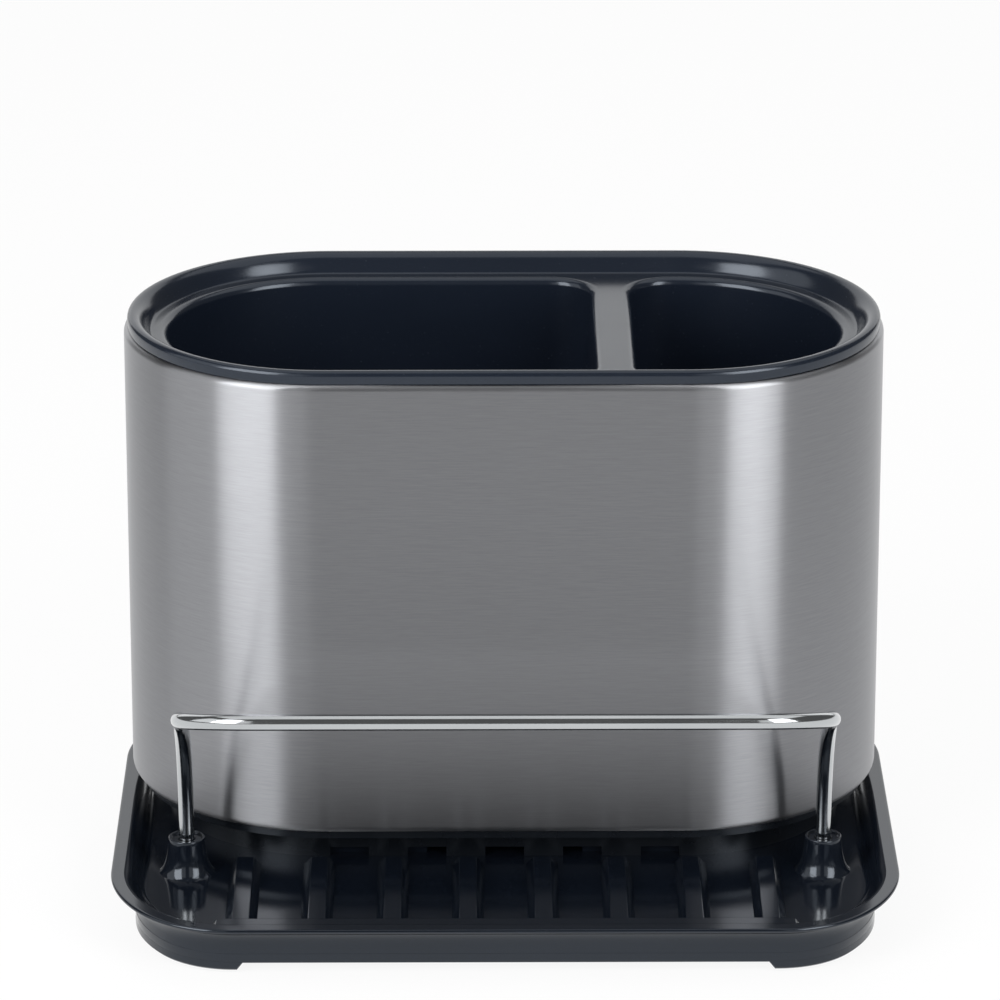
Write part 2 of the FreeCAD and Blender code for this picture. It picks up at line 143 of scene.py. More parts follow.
socket_cup_wall = 0.7 * MM
socket_edge = 0.28 * MM
socket_edge_end = 10.0
socket_bore = 2.05 * MM
socket_boss_wall = 1.8 * MM

# Pads and their bosses under the tray, and how deep joined shapes are sunk into each other
pad_radius = (pad_high.x - pad_low.x) / 2
pad_height = pad_high.z - pad_low.z
pad_x = (pad_low.x + pad_high.x) / 2
pad_y = (pad_low.y + pad_high.y) / 2
pad_recess = 1.8 * MM
pad_clearance = 0.1 * MM
pad_boss_wall = 1.5 * MM
pad_recess_radius = pad_radius + pad_clearance
pad_boss_radius = pad_recess_radius + pad_boss_wall
pad_groove_pitch = 1.3 * MM
pad_groove_depth = 0.3 * MM
pad_edge = 0.4 * MM
boss_edge = 0.2 * MM
sunk = 0.3 * MM

# Steel band
band_sheet = 0.6 * MM
band_top_roll = 1.6 * MM
band_top_flange = 2.8 * MM
band_low_roll = 2.0 * MM
band_low_flange = 3.6 * MM
weld_width = 1.2 * MM
weld_proud = 0.12 * MM
weld_shoulder = 0.8
weld_low_angle = -60.0
weld_top_angle = 80.0

# Lift-out insert. The slope's two shares place the handles of its curve between the deck and the crest.
rim_inset = 0.9 * MM
rim_round = 1.4 * MM
rim_land = 0.2 * MM
rim_foot_round = 0.4 * MM
dish_drop = 4.9 * MM
dish_width = 4.5 * MM
slope_foot = 0.2
slope_head = 0.4
deck_thickness = 2.0 * MM
seat_inset = 3.1 * MM
well_inset = 11.3 * MM
well_wall = 2.0 * MM
well_draft = 2.0 * MM
well_mouth_round = 2.0 * MM
well_corner = 11.0 * MM
well_floor_thickness = 2.2 * MM
well_floor_fillet = 3.0 * MM
well_under_round = 1.0 * MM
divider_x = 28.1 * MM
divider_width = 10.4 * MM
drain_radius = 3.0 * MM
drain_pitch = 16.0 * MM
drain_margin = 8.0 * MM
drain_edge = 0.4 * MM
drain_sides = 24
deck_top = rim_top - dish_drop
deck_low = deck_top - deck_thickness
dish_end = rim_inset + rim_round + rim_land + dish_width
well_floor_low = insert_low.z
well_floor_top = well_floor_low + well_floor_thickness

# Finishes: colours, the least roughness of each, and the plastics' index of refraction
steel_dark = (0.292, 0.296, 0.310, 1)
steel_pale = (0.343, 0.347, 0.364, 1)
tray_dark = (0.0040, 0.0058, 0.0098, 1)
tray_pale = (0.0050, 0.0071, 0.0118, 1)
insert_dark = (0.0066, 0.0096, 0.0165, 1)
insert_pale = (0.0080, 0.0114, 0.0192, 1)
base_dark = (0.0040, 0.0052, 0.0072, 1)
base_pale = (0.0052, 0.0065, 0.009, 1)
plastic_speck = (0.06, 0.064, 0.07, 1)
plastic_sheen = (0.82, 0.9, 1.0, 1)
wire_dark = (0.47, 0.488, 0.50, 1)
wire_pale = (0.55, 0.568, 0.58, 1)
rubber_dark = (0.022, 0.022, 0.024, 1)
rubber_pale = (0.05, 0.05, 0.052, 1)
paper_dark = (0.93, 0.93, 0.93, 1)
paper_pale = (0.95, 0.95, 0.95, 1)
white = (1, 1, 1, 1)
steel_roughness = 0.29
tray_roughness = 0.11
insert_roughness = 0.18
base_roughness = 0.26
wire_roughness = 0.1
rubber_roughness = 0.72
paper_roughness = 0.9
plastic_ior = 1.55

# Studio: upper boxes have a place, a target, two sides and a radiance
paper_whiteness = 0.9
floor_half = 8.0
world_strength = 0.12
upper_boxes = [
    ("top box", (0.2, 0.2, 1.5), (0.2, 0.05, 0), 2.2, 1.6, 0.85),
    ("back box", (0, 2.0, 0.9), (0, 0, 0.1), 3.0, 1.6, 1.0),
]

# Side boxes have degrees to the right of the front, a distance, a width and a radiance
box_low = 0.2
box_high = 1.3
side_boxes = [
    ("left box", -45.5, 1.1, 0.64, 6.0),
    ("left wing", -80.0, 1.2, 0.8, 1.0),
    ("left inner wing", -20.0, 1.5, 0.45, 0.7),
    ("right inner wing", 18.0, 1.5, 0.45, 0.7),
    ("right box", 41.5, 1.1, 0.58, 5.1),
    ("right core", 41.0, 1.05, 0.24, 1.0),
]

# Camera, with its lens and sensor in millimetres and its angles in degrees
camera_sensor = 36.0
camera_lens = 216.1
camera_place = (-0.0092, -1.4433, 0.6191)
camera_dip = 19.77
camera_turn = -0.321

# Fineness of the meshes
flat_border = 0.6 * MM
rib_border = 0.18 * MM
merge_distance = 0.01 * MM
fillet_slack = 0.0025 * MM
end_steps = 56
corner_steps = 24
round_steps = 8
edge_steps = 4
fine_edge_steps = 3
wire_sides = 32
turning_radius = 3.0 * MM
turning_share = 0.9999
turning_steps = 10
sharp_angle = math.radians(40)


class Link:
    """An output in a node tree. Arithmetic on it adds Math nodes, and add() makes any other node."""

    def __init__(self, tree, socket=None):
        self.tree = tree
        self.socket = socket

    def add(self, kind, settings=None, sockets=None, output=0):
        """A node of this kind, with its settings made first, and one of its outputs."""
        node = self.tree.nodes.new(kind)
        for name, value in (settings or {}).items():
            setattr(node, name, value)
        for name, value in (sockets or {}).items():
            if isinstance(value, Link):
                self.tree.links.new(value.socket, node.inputs[name])
            else:
                node.inputs[name].default_value = value
        return Link(self.tree, node.outputs[output] if node.outputs else None)

    def maths(self, operation, first, second):
        return self.add("ShaderNodeMath", {"operation": operation}, {0: first, 1: second})

    def __add__(self, other):
        return self.maths("ADD", self, other)

    def __radd__(self, other):
        return self.maths("ADD", other, self)

    def __sub__(self, other):
        return self.maths("SUBTRACT", self, other)

    def __rsub__(self, other):
        return self.maths("SUBTRACT", other, self)

    def __mul__(self, other):
        return self.maths("MULTIPLY", self, other)

    def __rmul__(self, other):
        return self.maths("MULTIPLY", other, self)


# Finishes


class Finish(Link):
    """A material whose nodes are made on the object's own coordinates."""

    def __init__(self, name):
        self.material = bpy.data.materials.new(name)
        self.material.use_nodes = True
        self.material.node_tree.nodes.clear()
        super().__init__(self.material.node_tree)
        self.place = self.add("ShaderNodeTexCoord", output="Object")

    def noise(self, per_metre, detail=2.0, roughness=0.5):
        """Noise from 0 to 1 with this many waves in a metre along X, Y and Z."""
        stretched = self.add("ShaderNodeMapping", {}, {"Vector": self.place, "Scale": per_metre})
        sockets = {"Vector": stretched, "Scale": 1.0, "Detail": detail, "Roughness": roughness}
        return self.add("ShaderNodeTexNoise", {}, sockets, "Fac")

    def ramp(self, value, low, high):
        """Zero at the low value and one at the high one, with soft ends."""
        settings = {"interpolation_type": "SMOOTHSTEP"}
        return self.add("ShaderNodeMapRange", settings, {"Value": value, "From Min": low, "From Max": high})

    def blend(self, share, first, second):
        settings = {"data_type": "RGBA"}
        return self.add("ShaderNodeMix", settings, {0: share, 6: first, 7: second}, 2)

    def bump(self, height, depth, strength):
        return self.add("ShaderNodeBump", {}, {"Strength": strength, "Distance": depth, "Height": height})

    def surface(self, sockets):
        shader = self.add("ShaderNodeBsdfPrincipled", {}, sockets)
        self.add("ShaderNodeOutputMaterial", {}, {"Surface": shader})
        return self.material


def even(per_metre):
    return (per_metre, per_metre, per_metre)


def brushed_steel():
    """Sheet brushed round the box: fine level strokes that stretch highlights up and down."""
    finish = Finish("brushed steel")
    hair = finish.noise((190.0, 190.0, 6500.0), detail=2.0, roughness=0.6)
    stroke = finish.noise((70.0, 70.0, 2700.0), detail=3.0, roughness=0.6)
    cloud = finish.noise((9.0, 9.0, 26.0), detail=2.0)
    grain = hair * 0.6 + stroke * 0.4
    tone = finish.ramp(grain + cloud * 0.08, low=0.3, high=0.76)
    return finish.surface({
        "Base Color": finish.blend(tone, steel_dark, steel_pale),
        "Metallic": 1.0,
        "Roughness": steel_roughness + grain * 0.08 + cloud * 0.02,
        "Anisotropic": 1.0,
        "Anisotropic Rotation": 0.25,
        "Normal": finish.bump(grain, depth=0.02 * MM, strength=0.25),
    })


def moulded_plastic(name, dark, pale, roughness):
    """Glossy dark moulding: faint flow marks in the colour, a soft skin texture and slight handling haze."""
    finish = Finish(name)
    flow = finish.noise((14.0, 22.0, 30.0), detail=3.0)
    texture = finish.noise(even(900.0), detail=2.0)
    haze = finish.noise(even(38.0), detail=4.0, roughness=0.6)
    speck = finish.ramp(finish.noise(even(2600.0), detail=1.0), low=0.74, high=0.82)
    tint = finish.blend(finish.ramp(flow, low=0.3, high=0.7), dark, pale)
    return finish.surface({
        "Base Color": finish.blend(speck * 0.25, tint, plastic_speck),
        "Roughness": roughness + finish.ramp(haze, low=0.45, high=0.75) * 0.06 + speck * 0.2,
        "IOR": plastic_ior,
        "Specular Tint": plastic_sheen,
        "Normal": finish.bump(texture, depth=0.02 * MM, strength=0.1),
    })


def polished_wire():
    """Drawn and polished wire with hair-fine marks."""
    finish = Finish("polished wire")
    marks = finish.noise((60.0, 700.0, 700.0), detail=3.0, roughness=0.6)
    cloud = finish.noise(even(45.0), detail=3.0)
    return finish.surface({
        "Base Color": finish.blend(cloud, wire_dark, wire_pale),
        "Metallic": 1.0,
        "Roughness": wire_roughness + finish.ramp(marks, low=0.5, high=0.8) * 0.08 + cloud * 0.04,
        "Normal": finish.bump(marks, depth=0.01 * MM, strength=0.08),
    })


def pad_rubber():
    """Soft dark rubber with a dusty, dry surface."""
    finish = Finish("pad rubber")
    grit = finish.noise(even(2400.0), detail=3.0, roughness=0.7)
    bloom = finish.noise(even(180.0), detail=3.0)
    return finish.surface({
        "Base Color": finish.blend(bloom, rubber_dark, rubber_pale),
        "Roughness": rubber_roughness + grit * 0.2,
        "Normal": finish.bump(grit, depth=0.05 * MM, strength=0.35),
    })


steel_finish = brushed_steel()
tray_finish = moulded_plastic("tray plastic", tray_dark, tray_pale, tray_roughness)
insert_finish = moulded_plastic("insert plastic", insert_dark, insert_pale, insert_roughness)
base_finish = moulded_plastic("base plastic", base_dark, base_pale, base_roughness)
wire_finish = polished_wire()
rubber_finish = pad_rubber()


# Outlines and mesh building


def arc(centre, radius, start, end, steps):
    """Points on an arc, both ends included, with the angles in degrees."""
    points = []
    for step in range(steps + 1):
        angle = math.radians(start + (end - start) * step / steps)
        points.append((centre[0] + radius * math.cos(angle), centre[1] + radius * math.sin(angle)))
    return points


def rounded_outline(length, width, radius, x=0.0, y=0.0):
    """A rounded rectangle, anticlockwise."""
    across = length / 2 - radius
    along = width / 2 - radius
    points = []
    for turn, (cx, cy) in enumerate([(across, along), (-across, along), (-across, -along), (across, -along)]):
        points += arc((x + cx, y + cy), radius, 90 * turn, 90 * turn + 90, round_steps)
    return points


def box_outline(inset):
    """The steel band's outline, drawn in by the inset, anticlockwise from the front right."""
    radius = band_radius - inset
    right = arc((band_end_x, band_y), radius, -90, 90, end_steps)
    left = arc((-band_end_x, band_y), radius, 90, 270, end_steps)
    return right + left


def well_outline(side, grow):
    """A well's outline, offset outwards by grow: the large well is on side -1, the small one on side 1."""
    radius = band_radius - well_inset + grow
    corner = well_corner + grow
    corner_x = -side * divider_x - divider_width / 2 + grow - corner
    corner_y = radius - corner
    points = arc((-band_end_x, 0.0), radius, 90, 270, end_steps)
    points += arc((corner_x, -corner_y), corner, -90, 0, round_steps)
    points += arc((corner_x, corner_y), corner, 0, 90, round_steps)
    return [(-side * x, band_y + y) for x, y in points]


def ring(mesh, points, z):
    return [mesh.verts.new((x, y, z)) for x, y in points]


def skin(mesh, near, far):
    """Four-sided faces between two rings with as many points."""
    for index in range(len(near)):
        after = (index + 1) % len(near)
        mesh.faces.new((near[index], near[after], far[after], far[index]))


def stack(mesh, outline, levels):
    """Skins one outline through a row of (offset, height) pairs, and gives its first and last rings."""
    rings = [ring(mesh, outline(offset), z) for offset, z in levels]
    for near, far in zip(rings, rings[1:]):
        skin(mesh, near, far)
    return rings[0], rings[-1]


def fill(mesh, *rings):
    """A flat face inside the first ring, with the other rings as its holes."""
    edges = []
    for points in rings:
        for index, point in enumerate(points):
            after = points[(index + 1) % len(points)]
            edges.append(mesh.edges.get((point, after)) or mesh.edges.new((point, after)))
    bmesh.ops.triangle_fill(mesh, use_beauty=True, use_dissolve=False, edges=edges)


def loft(mesh, sections):
    """Skins a row of sections with as many points each, and closes both ends."""
    rings = [[mesh.verts.new(point) for point in section] for section in sections]
    for near, far in zip(rings, rings[1:]):
        skin(mesh, near, far)
    mesh.faces.new(rings[0])
    mesh.faces.new(rings[-1])


def as_data(mesh, name):
    """The finished mesh with its faces turned outwards."""
    bmesh.ops.recalc_face_normals(mesh, faces=mesh.faces)
    data = bpy.data.meshes.new(name)
    mesh.to_mesh(data)
    mesh.free()
    return data


def chain(name, points, closed=False):
    """A mesh of edges through points, for a node tree to follow."""
    edges = [(index, index + 1) for index in range(len(points) - 1)]
    if closed:
        edges.append((len(points) - 1, 0))
    data = bpy.data.meshes.new(name)
    data.from_pydata(points, edges, [])
    return data


def place_piece(name, data, finish, body, slot, *nodes):
    """Puts a finished mesh in the scene, on its body, for the nodes that it stands for."""
    data.name = name
    data.materials.clear()
    data.materials.append(finish)
    data.shade_smooth()
    data.set_sharp_from_angle(angle=sharp_angle)
    piece = bpy.data.objects.new(name, data)
    scene.collection.objects.link(piece)
    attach(piece, body)
    if nodes:
        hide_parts(*nodes)
    return piece


# Node trees


def new_tree(name, inputs):
    """A geometry node tree and its named inputs."""
    tree = bpy.data.node_groups.new(name, "GeometryNodeTree")
    tree.interface.new_socket("Geometry", in_out="OUTPUT", socket_type="NodeSocketGeometry")
    for label, kind in inputs.items():
        tree.interface.new_socket(label, in_out="INPUT", socket_type="NodeSocket" + kind)
    entry = tree.nodes.new("NodeGroupInput")
    return tree, {label: Link(tree, entry.outputs[label]) for label in inputs}


def end_tree(made, finish):
    """Realizes what was made, gives it its material and sends it out of the tree."""
    real = made.add("GeometryNodeRealizeInstances", {}, {"Geometry": made})
    coated = made.add("GeometryNodeSetMaterial", {}, {"Geometry": real, "Material": finish})
    made.add("NodeGroupOutput", {}, {"Geometry": coated})


def copies_in_rows(piece, sizes):
    """Copies of a piece along one pitch, and rows of them along the other."""
    sockets = {"Count": sizes["Copies"], "Start Location": sizes["Start"], "Offset": sizes["Pitch"]}
    line = piece.add("GeometryNodeMeshLine", {"mode": "OFFSET"}, sockets)
    row = piece.add("GeometryNodeInstanceOnPoints", {}, {"Points": line, "Instance": piece})
    sockets = {"Count": sizes["Rows"], "Offset": sizes["Row Pitch"]}
    column = piece.add("GeometryNodeMeshLine", {"mode": "OFFSET"}, sockets)
    return piece.add("GeometryNodeInstanceOnPoints", {}, {"Points": column, "Instance": row})


row_inputs = {
    "Start": "Vector",
    "Copies": "Int",
    "Pitch": "Vector",
    "Rows": "Int",
    "Row Pitch": "Vector",
    "Finish": "Material",
}


def outline_tree():
    """Sweeps a profile round a rounded outline, and sets out copies of the ring."""
    inputs = {"Profile": "Geometry", "Length": "Float", "Width": "Float", "Corner": "Float", "Steps": "Int"}
    inputs.update(row_inputs)
    tree, sizes = new_tree("profile round an outline", inputs)
    start = sizes["Profile"]
    profile = start.add("GeometryNodeMeshToCurve", {}, {"Mesh": start})
    sockets = {"Width": sizes["Length"], "Height": sizes["Width"]}
    outline = start.add("GeometryNodeCurvePrimitiveQuadrilateral", {"mode": "RECTANGLE"}, sockets)
    sockets = {"Curve": outline, "Count": sizes["Steps"], "Radius": sizes["Corner"]}
    rounded = start.add("GeometryNodeFilletCurve", {"mode": "POLY"}, sockets)
    level = start.add("GeometryNodeSetCurveNormal", {"mode": "Z_UP"}, {"Curve": rounded})
    swept = start.add("GeometryNodeCurveToMesh", {}, {"Curve": level, "Profile Curve": profile})
    closed = start.add("GeometryNodeMergeByDistance", {}, {"Geometry": swept, "Distance": merge_distance})
    end_tree(copies_in_rows(closed, sizes), sizes["Finish"])
    return tree


def row_tree():
    """Sets out copies of a piece in rows."""
    inputs = {"Piece": "Geometry"}
    inputs.update(row_inputs)
    tree, sizes = new_tree("copies in rows", inputs)
    end_tree(copies_in_rows(sizes["Piece"], sizes), sizes["Finish"])
    return tree


def wire_tree():
    """Draws a round wire along a path, with its radius scaled by the path's swell."""
    inputs = {"Path": "Geometry", "Radius": "Float", "Sides": "Int", "Finish": "Material"}
    tree, sizes = new_tree("wire along a path", inputs)
    start = sizes["Path"]
    path = start.add("GeometryNodeMeshToCurve", {}, {"Mesh": start})
    sockets = {"Resolution": sizes["Sides"], "Radius": sizes["Radius"]}
    circle = start.add("GeometryNodeCurvePrimitiveCircle", {"mode": "RADIUS"}, sockets)
    swell = start.add("GeometryNodeInputNamedAttribute", {"data_type": "FLOAT"}, {"Name": "swell"})
    sockets = {"Curve": path, "Profile Curve": circle, "Scale": swell, "Fill Caps": True}
    end_tree(start.add("GeometryNodeCurveToMesh", {}, sockets), sizes["Finish"])
    return tree


def grown(name, data, tree, sizes):
    """The plain mesh that a tree makes of a starting mesh, with the sizes set by their inputs' names."""
    seed = bpy.data.objects.new(name, data)
    scene.collection.objects.link(seed)
    modifier = seed.modifiers.new("shape", "NODES")
    modifier.node_group = tree
    for item in tree.interface.items_tree:
        if item.in_out == "INPUT" and item.name in sizes:
            modifier[item.identifier] = sizes[item.name]
    depsgraph = bpy.context.evaluated_depsgraph_get()
    made = bpy.data.meshes.new_from_object(seed.evaluated_get(depsgraph))
    seed.modifiers.remove(modifier)
    bpy.data.objects.remove(seed)
    bpy.data.meshes.remove(data)
    mesh = bmesh.new()
    mesh.from_mesh(made)
    bpy.data.meshes.remove(made)
    return mesh


sweep = outline_tree()
rows = row_tree()
wire = wire_tree()
one_row = {"Copies": 1, "Rows": 1, "Pitch": (0, 0, 0), "Row Pitch": (0, 0, 0)}


def swept(name, profile, closed, finish, sizes):
    """A profile of (distance out, height) points, swept round an outline."""
    points = [(out, -z, 0.0) for out, z in profile]
    settings = dict(one_row, Finish=finish, Start=(0, 0, 0))
    settings.update(sizes)
    return grown(name, chain(name, points, closed), sweep, settings)


def turned(name, profile, finish, sizes):
    """A profile of (radius, height) points, turned about an upright axis."""
    out_from_circle = [(radius - turning_radius, z) for radius, z in profile]
    circle = {
        "Length": 2 * turning_radius,
        "Width": 2 * turning_radius,
        "Corner": turning_radius * turning_share,
        "Steps": turning_steps,
    }
    return swept(name, out_from_circle, False, finish, dict(circle, **sizes))


# Steel band


low_centre = (-band_low_roll, band_bottom + band_low_roll)
top_centre = (-band_top_roll, band_top - band_top_roll)


def make_steel_band():
    """The sheet with both edges rolled inwards."""
    profile = arc(low_centre, band_low_roll, -90, 0, round_steps)
    profile += arc(top_centre, band_top_roll, 0, 90, round_steps)
    profile += [(-band_top_flange, band_top), (-band_top_flange, band_top - band_sheet)]
    profile += arc(top_centre, band_top_roll - band_sheet, 90, 0, round_steps)
    profile += arc(low_centre, band_low_roll - band_sheet, 0, -90, round_steps)
    profile += [(-band_low_flange, band_bottom + band_sheet), (-band_low_flange, band_bottom)]
    mesh = swept("steel_band_sheet", profile, True, steel_finish, {
        "Length": band_length,
        "Width": 2 * band_radius,
        "Corner": band_radius - fillet_slack,
        "Steps": corner_steps * 2,
        "Start": (0, band_y, 0),
    })
    sheet = as_data(mesh, "sheet")
    place_piece("steel_band_sheet", sheet, steel_finish, "caddy", "brushed_steel", "steel_band")


def make_band_weld():
    """The ground weld up the back of the band, over both rolled edges."""
    half = weld_width / 2
    shoulder = weld_proud * weld_shoulder
    bead = [(-half, -sunk), (-half, 0.0), (-half / 2, shoulder), (0.0, weld_proud)]
    bead += [(half / 2, shoulder), (half, 0.0), (half, -sunk)]
    low_edge = (low_centre, band_low_roll, weld_low_angle, 0)
    top_edge = (top_centre, band_top_roll, 0, weld_top_angle)
    sections = []
    for centre, roll, start, end in (low_edge, top_edge):
        for step in range(round_steps + 1):
            angle = math.radians(start + (end - start) * step / round_steps)
            section = []
            for x, proud in bead:
                out = centre[0] + (roll + proud) * math.cos(angle)
                section.append((x, band_high.y + out, centre[1] + (roll + proud) * math.sin(angle)))
            sections.append(section)
    mesh = bmesh.new()
    loft(mesh, sections)
    place_piece("band_weld", as_data(mesh, "weld"), steel_finish, "caddy", "brushed_steel")


# Drip tray


def tray_arcs():
    """The arcs of the back right corner: a wide one that leaves the side, and a tighter one to the back."""
    turn = math.radians(tray_side_turn)
    apart = tray_side - tray_corner
    side_x = tray_length / 2 - tray_side
    back_y = tray_width / 2 - tray_corner
    side_centre = (side_x, back_y - apart * math.sin(turn))
    back_centre = (side_x + apart * math.cos(turn), back_y)
    return [(side_centre, tray_side, 0.0, tray_side_turn), (back_centre, tray_corner, tray_side_turn, 90.0)]


def tray_outline(out):
    """The tray's outline, offset outwards, anticlockwise from the right."""
    corner = []
    for centre, radius, start, end in tray_arcs():
        corner = corner[:-1] + arc(centre, radius + out, start, end, corner_steps)
    back = corner + [(-x, y) for x, y in reversed(corner)]
    return back + [(-x, -y) for x, y in back]


def tray_profile():
    """From the floor up the wall, over the flat lip, and down the cove to the underside of the floor."""
    fillet_z = floor_top + floor_fillet
    fillet_reach = inner_cove + floor_fillet
    fillet_angle = 180 - math.degrees(math.asin((fillet_z - cove_centre[1]) / fillet_reach))
    fillet_x = cove_centre[0] + fillet_reach * math.cos(math.radians(fillet_angle))
    lip_angle = 180 - math.degrees(math.asin((lip_top - lip_ease / 2 - cove_centre[1]) / inner_cove))
    lip_inside = cove_centre[0] + inner_cove * math.cos(math.radians(lip_angle)) + lip_ease
    lip_edge = (-lip_round, lip_top - lip_round)
    skirt_centre = (foot_face - skirt_round, skirt_bottom + skirt_round)
    floor_edge = fillet_x - flat_border
    profile = [(floor_edge, floor_top)]
    profile += arc((fillet_x, fillet_z), floor_fillet, -90, fillet_angle - 180, round_steps)
    profile += arc(cove_centre, inner_cove, fillet_angle, lip_angle, round_steps)[1:]
    profile += [(lip_inside, lip_top), (lip_inside + lip_ease, lip_top)]
    profile += [(-lip_round - lip_ease / 2, lip_top)]
    profile += arc(lip_edge, lip_round, 90, -90, 2 * round_steps)
    profile += arc(cove_centre, cove_radius, 90, 180, 3 * round_steps)[1:]
    profile += [(foot_face - foot_band_ease, cove_level), (foot_face, cove_level)]
    profile += arc(skirt_centre, skirt_round, 0, -90, edge_steps)
    profile += [(foot_back, skirt_bottom), (foot_back, floor_bottom), (floor_edge, floor_bottom)]
    return profile


def add_corner_foot(mesh, side_x, side_y):
    """A foot under one corner of the tray, with a run along its front or back and slanted ends."""
    side, back = tray_arcs()
    stations = [(side, side[2], -foot_slant, skirt_bottom)]
    for bend in (side, back):
        for step in range(corner_steps + 1):
            stations.append((bend, bend[2] + (bend[3] - bend[2]) * step / corner_steps, 0.0, foot_bottom))
    stations.append((back, back[3], foot_run, foot_bottom))
    stations.append((back, back[3], foot_run + foot_slant, skirt_bottom))
    top = skirt_bottom + sunk
    bevel = foot_face - skirt_round
    sections = []
    for (centre, radius, start, end), degrees, past, low in stations:
        angle = math.radians(degrees)
        away = Vector((math.cos(angle), math.sin(angle)))
        along = Vector((-math.sin(angle), math.cos(angle)))
        corners = [(foot_back, top), (foot_back, low), (bevel, low)]
        corners += [(foot_face, low + skirt_round), (foot_face, top)]
        section = []
        for out, z in corners:
            point = Vector(centre) + away * (radius + out) + along * past
            section.append((side_x * point.x, side_y * point.y, min(z, top)))
        sections.append(section)
    loft(mesh, sections)


def make_tray_shell():
    """The floor, the wall with its lip and cove, the foot band and the corner feet."""
    mesh = bmesh.new()
    floor, underside = stack(mesh, tray_outline, tray_profile())
    fill(mesh, floor)
    fill(mesh, underside)
    for side_x in (-1, 1):
        for side_y in (-1, 1):
            add_corner_foot(mesh, side_x, side_y)
    place_piece("drip_tray_shell", as_data(mesh, "tray"), tray_finish, "tray", "tray_plastic", "drip_tray")


def raised_levels(top):
    """From the floor up a sloped side and over its softened edge, as (distance in, height) pairs."""
    shoulder = (top - rib_edge - floor_top) * rib_slope / rib_height
    levels = [(0.0, floor_top - sunk), (0.0, floor_top)]
    levels += [(shoulder + rib_edge * inwards, top - rib_edge * below) for inwards, below in rib_edge_bends]
    return levels + [(levels[-1][0] + rib_border, top)]


def rib_outline(inset):
    """A rib's outline about X = 0, drawn in from its foot. Its front end is tucked into the ledge."""
    front = ledge_depth - tray_width / 2 - rib_tuck
    back = band_low.y + plinth_inset - rib_back_gap
    half = rib_top_width / 2 + rib_slope
    corner = max((half - inset) * rib_corner_share, rib_corner_least)
    return rounded_outline(2 * (half - inset), back - front - 2 * inset, corner, 0, (front + back) / 2)


def ledge_outline(inset):
    """The ledge's outline, drawn in from its foot. Its front stays inside the tray's wall."""
    length = rib_spread + rib_top_width + 2 * (ledge_overhang + rib_slope - inset)
    front = ledge_front + rib_slope - inset - tray_width / 2
    back = ledge_depth + rib_slope - inset - tray_width / 2
    return rounded_outline(length, back - front, ledge_corner - inset, 0, (front + back) / 2)


def make_tray_ribs():
    """A row of drainage ribs with sloped sides, and the ledge at the front that they run into."""
    rib = bmesh.new()
    foot, top = stack(rib, rib_outline, raised_levels(floor_top + rib_height - rib_below_ledge))
    fill(rib, foot)
    fill(rib, top)
    mesh = grown("drainage_ribs", as_data(rib, "rib"), rows, dict(
        one_row,
        Start=(-rib_spread / 2, 0, 0),
        Copies=rib_count,
        Pitch=(rib_spread / (rib_count - 1), 0, 0),
        Finish=tray_finish,
    ))
    foot, top = stack(mesh, ledge_outline, raised_levels(floor_top + rib_height))
    fill(mesh, foot)
    fill(mesh, top)
    place_piece("drainage_ribs", as_data(mesh, "ribs"), tray_finish, "tray", "tray_plastic")


def make_locating_ridge():
    """The low ridge that the box's plinth drops over, open at the front."""
    outer = plinth_inset + plinth_wall + ridge_clearance
    inner = outer + ridge_width
    top = floor_top + ridge_height
    corners = [(outer, floor_top - sunk), (outer, top - ridge_round), (outer + ridge_round, top)]
    corners += [(inner - ridge_round, top), (inner, top - ridge_round), (inner, floor_top - sunk)]
    paths = []
    for inset, z in corners:
        front = band_low.y + inset
        path = [(ridge_gap / 2, front)] + box_outline(inset) + [(-ridge_gap / 2, front)]
        paths.append([(x, y, z) for x, y in path])
    mesh = bmesh.new()
    loft(mesh, [list(section) for section in zip(*paths)])
    place_piece("locating_ridge", as_data(mesh, "ridge"), tray_finish, "tray", "tray_plastic")


def make_rail_sockets():
    """Sockets that flare towards the floor, with a thin rim round the cup and a blind bore."""
    shoulder = Vector((socket_rim, socket_top - socket_edge))
    waist = Vector((socket_waist, floor_top + socket_waist_height))
    foot = Vector((socket_foot, floor_top))
    boss = socket_bore + socket_boss_wall
    cup = socket_rim - socket_cup_wall
    cup_floor = socket_top - socket_cup_depth
    profile = [(0.0, bore_bottom), (socket_bore, bore_bottom), (socket_bore, cup_floor - socket_edge)]
    profile += [(socket_bore + socket_edge, cup_floor), (cup - socket_edge, cup_floor)]
    profile += [(cup, cup_floor + socket_edge), (cup, socket_top - socket_edge)]
    edge_z = socket_top - socket_edge
    profile += arc((cup + socket_edge, edge_z), socket_edge, 180, 90, fine_edge_steps)[1:]
    profile += arc((socket_rim - socket_edge, edge_z), socket_edge, 90, socket_edge_end, edge_steps)
    steps = 2 * round_steps
    for step in range(1, steps + 1):
        share = step / steps
        profile.append(tuple(shoulder.lerp(waist, share).lerp(waist.lerp(foot, share), share)))
    profile += [(socket_foot, floor_top - sunk), (boss, floor_bottom + sunk)]
    profile += [(boss, bore_bottom - socket_boss_wall), (0.0, bore_bottom - socket_boss_wall)]
    mesh = turned("rail_sockets", profile, tray_finish, {
        "Start": (-socket_x, socket_y, 0),
        "Copies": 2,
        "Pitch": (2 * socket_x, 0, 0),
    })
    place_piece("rail_sockets", as_data(mesh, "sockets"), tray_finish, "tray", "tray_plastic")


four_corners = {
    "Start": (-pad_x, -pad_y, 0),
    "Copies": 2,
    "Pitch": (2 * pad_x, 0, 0),
    "Rows": 2,
    "Row Pitch": (0, 2 * pad_y, 0),
}


